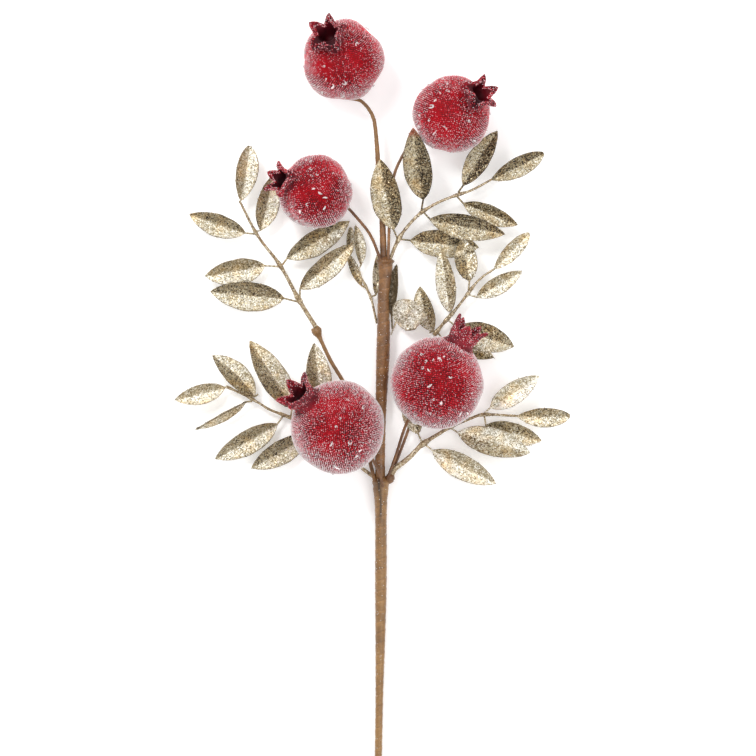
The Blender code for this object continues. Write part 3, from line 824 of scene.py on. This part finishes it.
def makeSkinMaterial(look):
    # mottled red, maroon on the crown and darker down into its hole, a painted shade; pinker where frost
    # lies on the crown's wall and lip, and pinker down the body's sides, a painted sheen
    material, tree, shader = newMaterial("fruitSkin", Roughness=0.5, Specular_IOR_Level=0.12)
    mottle = placeGroup(tree, mottleGroup, Patch_Scale=45.0)
    red = rampFrom(tree, mottle.outputs["Patches"], look["red"])
    maroonAndHoleShade = rampFrom(tree, readMark(tree, "crown"), look["maroonAndHoleShade"])
    colour = mixColours(tree, red, maroonAndHoleShade, blend="MULTIPLY")
    colour = mixColours(tree, colour, look["frostAndSheenPink"], readMark(tree, "frostAndSheen"))
    dressShader(tree, shader, colour, fibreBump(tree, mottle.outputs["Fibres"], 0.6, 0.0006))
    return material


def makeBeadMaterial(look):
    # glass beads, each with its own share of milkiness, which also carries painted sheen, painted shade and
    # painted glints
    material, tree, shader = newMaterial("beadGlass", Roughness=0.15, IOR=1.35, Transmission_Weight=0.25)
    tree.links.new(rampFrom(tree, readMark(tree, "milkAndPaintedLight"), look["beads"]), shader.inputs["Base Color"])
    return material


def bodySwell(heights, turns, ribs, seed):
    # how far the skin stands out from a ball: broad lobes in line with the sepals, narrow valleys
    # between them, and uneven lumps
    lobes = 2 * np.sqrt(np.cos(2.5 * turns)**2 + 0.03) - 1.2
    return 1 + ribs * (1 - heights**2)**0.7 * lobes + 0.02 * ripple(heights / 2, turns, seed)


def crownRows(look, sepals, turn, seed):
    # rings up the outside of the crown, over its lip and down into the hole, as heights and widths in
    # parts of the radius, each with its mark. The wall's middle line leaves the tube and leans more and
    # more outward; its length swells from the valleys to the sepal tips with one minus off, where off
    # is 0 in the middle of a sepal and 1 in a valley, softened a little at both.
    place = turn * 5 / (2 * math.pi)
    low = np.floor(place).astype(int)
    blend = np.clip((place - low - 0.3) / 0.4, 0, 1)
    blend = (blend**2 * (3 - 2 * blend))[:, None]
    sepals = np.array(sepals, float)
    long, foot, tip, thick = (sepals[low % 5] * (1 - blend) + sepals[(low + 1) % 5] * blend).T
    off = 2 * np.abs(place - np.round(place))
    length = look["valley"] + (long - look["valley"]) * (0.75 * (1 - off) + 0.25 * (1 - off**2)**2)
    steps = 12
    part = np.linspace(0, 1, steps)[:, None]
    lean = np.radians(foot) + np.radians(tip - foot) * part * (length / long)
    rise, out = np.cos(lean), np.sin(lean)
    step = length / (steps - 1)
    high = look["tubeTop"] + np.vstack([0 * step, (rise[1:] * step).cumsum(axis=0)])
    wide = look["tube"] + np.vstack([0 * step, (out[1:] * step).cumsum(axis=0)])
    crust = 1 + 0.3 * ripple(part * 3, turn * 3, seed + 3)
    half = look["wall"] / 2 * (1 - 0.3 * part) * crust * (1 + (thick - 1) * part**0.5)
    neck, tube = look["neck"], look["tube"]
    rows = [(0.94, neck + 0.05, 0.2), (0.975, neck + 0.01, 0.4), (1.03, tube + 0.035, 0.5),
            (1.09, tube + 0.03, 0.5)]
    rows += [(high[i] - out[i] * half[i], wide[i] + rise[i] * half[i], 0.5) for i in range(steps)]
    for angle in np.radians((60, 30, 0, -30, -60)):
        aside, beyond = half[-1] * math.sin(angle), half[-1] * math.cos(angle)
        rows.append((high[-1] - out[-1] * aside + rise[-1] * beyond,
                     wide[-1] + rise[-1] * aside + out[-1] * beyond, 0.45))
    # inside the wall and down the hole the marks rise with depth, and a higher mark is painted darker:
    # painted shade
    rows += [(high[i] + out[i] * half[i], wide[i] - rise[i] * half[i], 0.6 + 0.3 * (1 - i / (steps - 1)))
             for i in reversed(range(steps))]
    return rows + [(height, width, 1.0) for height, width in look["hole"]]


def ballPoints(count, rng):
    # evenly spread directions on a ball, by the golden angle, each shaken a little
    i = np.arange(count) + 0.5
    height = 1 - 2 * i / count
    turn = i * math.pi * (3 - 5**0.5)
    wide = np.sqrt(1 - height**2)
    spots = np.stack([wide * np.cos(turn), wide * np.sin(turn), height], axis=1)
    return unit(spots + rng.normal(0, 0.42 / math.sqrt(count), spots.shape))


def makeFruit(node, look, own, seed):
    # the skin with its crown, then the beads and chips, which share one source of random draws
    fruit = readFruit(node)
    turn = np.linspace(0, 2 * math.pi, look["columns"], endpoint=False)
    rows = []
    for angle in np.radians(np.linspace(-88, 66, look["bodyRows"])):
        swell = bodySwell(np.sin(angle), turn, own["ribs"], seed)
        rows.append((math.sin(angle) * swell, math.cos(angle) * swell, 0.0))
    rows += crownRows(look, own["sepals"], turn, seed)
    high, wide, marks = (np.array([row[i] + 0 * turn for row in rows]) for i in range(3))
    spots = np.stack([wide * np.cos(turn), wide * np.sin(turn), high], axis=2)
    spots = fruit["centre"] + fruit["radius"] * (spots @ fruit["basis"])
    spots[..., 2] = np.maximum(spots[..., 2], fruit["floor"])
    lowSkin = 1 - unit(spots - fruit["centre"])[..., 2]
    # painted sheen: the body's skin is laid pinker the lower it lies on the fruit's sides; on the crown a
    # little frost along the wall and lip
    frostAndSheen = np.where(marks == 0, np.clip(lowSkin - 0.2, 0, 1)**1.4 * own["frostAndSheen"][1] * 0.85,
                     np.clip(0.1 - np.abs(marks - 0.47), 0, 1))
    makePiece(node + ".skin", spots, fruitSkin, [node], {"crown": marks, "frostAndSheen": frostAndSheen})
    rng = np.random.default_rng(seed)
    crownRings = 27          # the tube, the outside, the lip and a little of the inside
    crown = spots[look["bodyRows"]:look["bodyRows"] + crownRings]
    makeBeads(node, look, own, fruit, crown, seed, rng)
    makeChips(node, look, fruit, rng)


def makeBeads(node, look, own, fruit, crown, seed, rng):
    # beads over the body, each partly sunk in the skin: milkier in patches and at random; milkier low down
    # and on the lobes and clearer in the valleys and on top, a painted sheen on the sides and painted shade
    # in the valleys
    count = int(4 * math.pi * (fruit["radius"] / mm)**2 / (look["beadPitch"]**2 * 0.87))
    ways = ballPoints(count, rng)
    ways = ways[ways[:, 2] < 0.95]
    turns = np.arctan2(ways[:, 1], ways[:, 0])
    swell = bodySwell(ways[:, 2], turns, own["ribs"], seed)
    world = ways @ fruit["basis"]
    spot = fruit["centre"] + (fruit["radius"] * swell[:, None] + look["beadLift"] * mm) * world
    sizes = look["beadRadius"] * mm * rng.uniform(0.75, 1.2, len(spot))
    low = 1 - world[:, 2]
    clear, gain = own["frostAndSheen"]
    # random patches, and milkier down the sides: a painted sheen
    milkAndPaintedLight = clear + 0.13 * ripple(ways[:, 2] / 3, turns, seed + 5) + gain * np.clip(low, 0, 1.1)
    milkAndPaintedLight += rng.normal(0, 0.08, len(spot))
    # one bead in three whiter: painted glints
    milkAndPaintedLight += 0.22 * (rng.uniform(0, 1, len(spot)) < 0.3)
    # low down, beads toward +y less milky, a saturated red: painted light on that side
    milkAndPaintedLight -= 0.08 * world[:, 1] * np.clip(low * 2, 0, 1)
    # clearer in the valleys, milkier on the lobes: painted shade in the valleys
    milkAndPaintedLight += 2.8 * np.minimum(swell - 1, 0.02)
    # smaller beads lie as frost over the crown
    frostAndSheen = look["frostBeads"]
    row = (rng.beta(1.1, 0.9, frostAndSheen) * (len(crown) - 1.01)).astype(int)
    column = rng.integers(0, crown.shape[1], frostAndSheen)
    blend = rng.uniform(0, 1, frostAndSheen)[:, None]
    spot = np.vstack([spot, crown[row, column] * blend + crown[row + 1, column] * (1 - blend)])
    sizes = np.r_[sizes, rng.uniform(0.22, 0.42, frostAndSheen) * mm]
    milkAndPaintedLight = np.r_[np.clip(milkAndPaintedLight + 0.06, 0.1, 1), 0.85 * rng.uniform(0, 1, frostAndSheen)**1.5]
    keep = np.flatnonzero(spot[:, 2] > fruit["floor"] + sizes)[:look["mostBeads"]]
    spot = spot[keep]
    makeGrains(node + ".beads", spot, turnsFacing(unit(spot - fruit["centre"]), rng), sizes[keep],
               roundGrain(), beadGlass, milkAndPaintedLight[keep])


def makeChips(node, look, fruit, rng):
    # a few large clear chips, most of them near the top: every other one a curl, the rest shards
    ways = unit(rng.normal(0, 1, (look["chips"], 3)) + (0, 0, 0.4))
    ways = ways[((ways @ fruit["axis"]) < 0.8) & (ways[:, 2] > -0.5)]
    spot = fruit["centre"] + (fruit["radius"] + 0.8 * mm) * ways
    sizes = rng.uniform(*look["chipSize"], len(spot)) * mm
    lean = unit(ways + rng.normal(0, 0.35, ways.shape))
    turns = turnsFacing(lean, rng) * rng.uniform(0.55, 1.15, (len(spot), 1, 3))
    for start, (label, shape) in enumerate((("curls", curlGrain()), ("shards", shardGrain()))):
        makeGrains(node + "." + label, spot[start::2], turns[start::2], sizes[start::2], shape,
                   chipGlass)


print("fruits")
fruitSkin = makeSkinMaterial(fruitLook)
beadGlass = makeBeadMaterial(fruitLook)
chipGlass = newMaterial("chipGlass", Base_Color=(1, 0.95, 0.95, 1), Roughness=0.06, IOR=1.45,
                        Transmission_Weight=0.45)[0]
for i, (name, own) in enumerate(fruits.items()):
    makeFruit(name, fruitLook, own, 300 + i)


stage = {
    "floor": (0.97, 0.97, 0.97),
    "cameraHeight": 4.0,      # metres above the surface
    "viewWidth": 0.6124,      # metres across the view at viewHeight
    "viewHeight": 0.02,       # metres above the surface, about where the leaves lie
    "aim": (0.0041, 0.0116),  # metres from the middle of the spray
    "glow": 0.22,             # the surface lit from below like a light table, to soften shadows
    "dome": 0.86,
    "halfSize": 4.0,          # metres from the middle of the surface to its edge
    "lights": {               # place and width in metres, power in watts
        "keyLight": ((-0.7, 1.0, 1.6), 0.5, 17.0),
        "fillLight": ((0.9, -0.3, 1.8), 1.2, 10.2),
    },
}


def makeStage(look):
    # a pale surface under the spray, an even dome of light and two soft lamps
    material, tree, shader = newMaterial("paleFloor", Roughness=0.9, Emission_Color=(1, 1, 1, 1),
                                         Emission_Strength=look["glow"])
    mottle = placeGroup(tree, mottleGroup, Patch_Scale=3.0)
    stops = [(0.3, tuple(0.985 * c for c in look["floor"])), (0.7, look["floor"])]
    tree.links.new(rampFrom(tree, mottle.outputs["Patches"], stops), shader.inputs["Base Color"])
    half = look["halfSize"]
    mesh = bpy.data.meshes.new("floor")
    mesh.from_pydata([(-half, -half, 0), (half, -half, 0), (half, half, 0), (-half, half, 0)], [],
                     [(0, 1, 2, 3)])
    mesh.materials.append(material)
    floor = bpy.data.objects.new("floor", mesh)
    bpy.context.scene.collection.objects.link(floor)
    world = bpy.data.worlds.new("softDome")
    world.use_nodes = True
    dome = world.node_tree.nodes["Background"]
    dome.inputs["Color"].default_value = (1, 1, 1, 1)
    dome.inputs["Strength"].default_value = look["dome"]
    bpy.context.scene.world = world
    for name, (spot, size, power) in look["lights"].items():
        light = bpy.data.lights.new(name, "AREA")
        light.size = size
        light.energy = power
        lamp = bpy.data.objects.new(name, light)
        lamp.location = spot
        lamp.rotation_euler = (-Vector(spot)).to_track_quat("-Z", "Y").to_euler()
        bpy.context.scene.collection.objects.link(lamp)


def makeCamera(look):
    lens = bpy.data.cameras.new("camera")
    lens.lens = lens.sensor_width * (look["cameraHeight"] - look["viewHeight"]) / look["viewWidth"]
    lens.clip_end = 20.0
    camera = bpy.data.objects.new("camera", lens)
    camera.location = (look["aim"][0], look["aim"][1], look["cameraHeight"])
    bpy.context.scene.collection.objects.link(camera)
    bpy.context.scene.camera = camera


print("stage")
makeStage(stage)
makeCamera(stage)
bpy.context.scene.view_settings.view_transform = "Standard"
